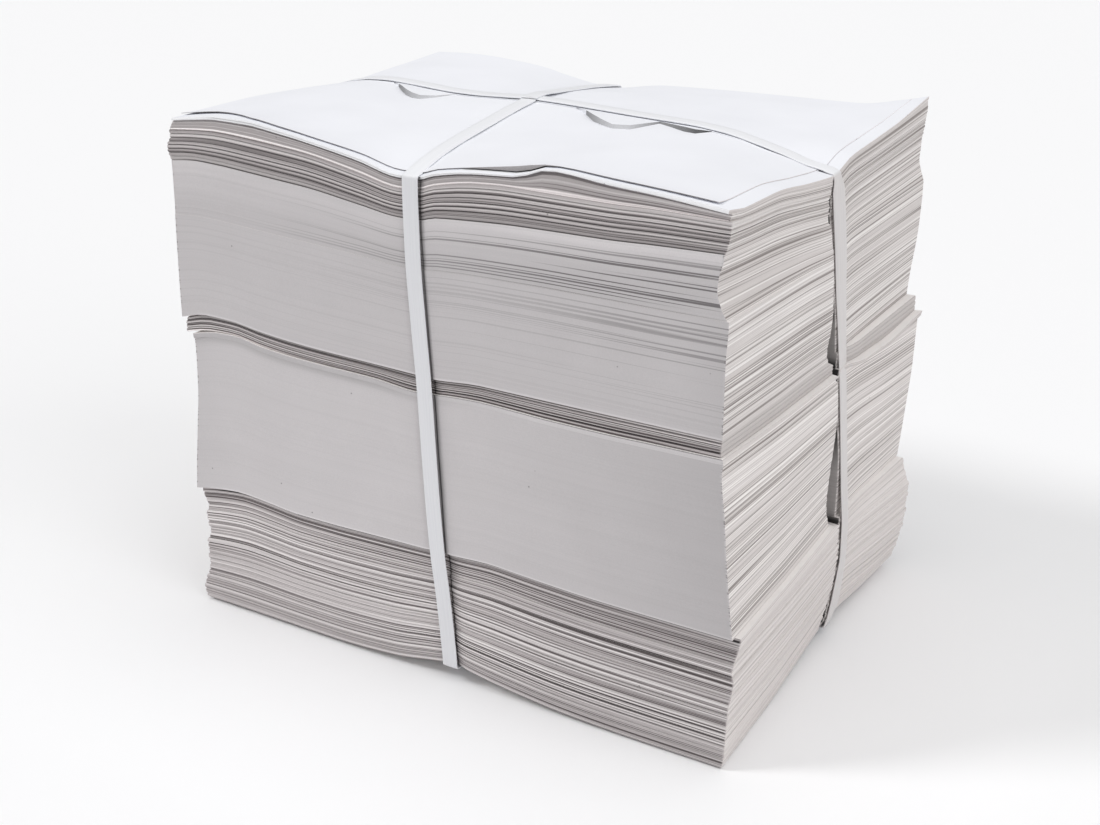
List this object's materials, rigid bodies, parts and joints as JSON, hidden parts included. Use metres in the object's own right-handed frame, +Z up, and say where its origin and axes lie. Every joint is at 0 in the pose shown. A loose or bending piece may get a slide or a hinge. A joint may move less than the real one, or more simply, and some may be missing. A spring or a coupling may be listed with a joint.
{
  "type": "stack of wrapping paper",
  "caption": "Tall bale of plain newsprint wrapping paper in folded quires and smooth blocks, tied both ways with flat plastic strapping.",
  "frame": {"origin": "centre of the stack's box, at the floor that it rests on", "axes": "+X along the wide front face to the right, -Y towards the front face, +Z up"},
  "size_m": [0.3976, 0.2916, 0.3408],
  "materials": {
    "white_sheet": "matte, uncoated",
    "trimmed_edge": "matte, stacked sheet edges",
    "folded_edge": "matte, folded sheet edges",
    "strap": "satin polypropylene band"
  },
  "bodies": {
    "root": {"bottom_quire_01": "folded_edge", "bottom_quire_02": "folded_edge", "bottom_quire_03": "folded_edge", "bottom_quire_04": "folded_edge", "bottom_quire_05": "folded_edge", "bottom_quire_06": "folded_edge", "bottom_quire_07": "folded_edge", "bottom_quire_08": "folded_edge", "bottom_quire_09": "folded_edge", "bottom_quire_10": "folded_edge", "bottom_quire_11": "folded_edge", "bottom_quire_12": "folded_edge", "bottom_quire_13": "folded_edge", "bottom_quire_14": "folded_edge", "bottom_quire_15": "folded_edge", "bottom_quire_16": "folded_edge", "bottom_quire_17": "folded_edge", "bottom_quire_18": "folded_edge", "bottom_quire_19": "folded_edge", "bottom_quire_20": "folded_edge", "bottom_quire_21": "folded_edge", "middle_quire_01": "trimmed_edge", "middle_quire_02": "trimmed_edge", "middle_quire_03": "trimmed_edge", "middle_quire_04": "trimmed_edge", "middle_quire_05": "trimmed_edge", "ledge_quire": "trimmed_edge", "thin_quire_01": "folded_edge", "thin_quire_02": "folded_edge", "thin_quire_03": "folded_edge", "thin_quire_04": "folded_edge", "upper_quire_01": "trimmed_edge", "upper_quire_02": "trimmed_edge", "upper_quire_03": "trimmed_edge", "upper_quire_04": "trimmed_edge", "upper_quire_05": "trimmed_edge", "shoulder_quire_01": "trimmed_edge", "shoulder_quire_02": "trimmed_edge", "shoulder_quire_03": "trimmed_edge", "ribbed_quire_01": "folded_edge", "ribbed_quire_02": "folded_edge", "ribbed_quire_03": "folded_edge", "ribbed_quire_04": "folded_edge", "ribbed_quire_05": "folded_edge", "ribbed_quire_06": "folded_edge", "ribbed_quire_07": "folded_edge", "ribbed_quire_08": "folded_edge", "thick_quire": "folded_edge", "second_sheets": "white_sheet", "cover_sheets": "white_sheet", "strap_front_back": "strap", "strap_side_side": "strap"}
  },
  "joints": []
}
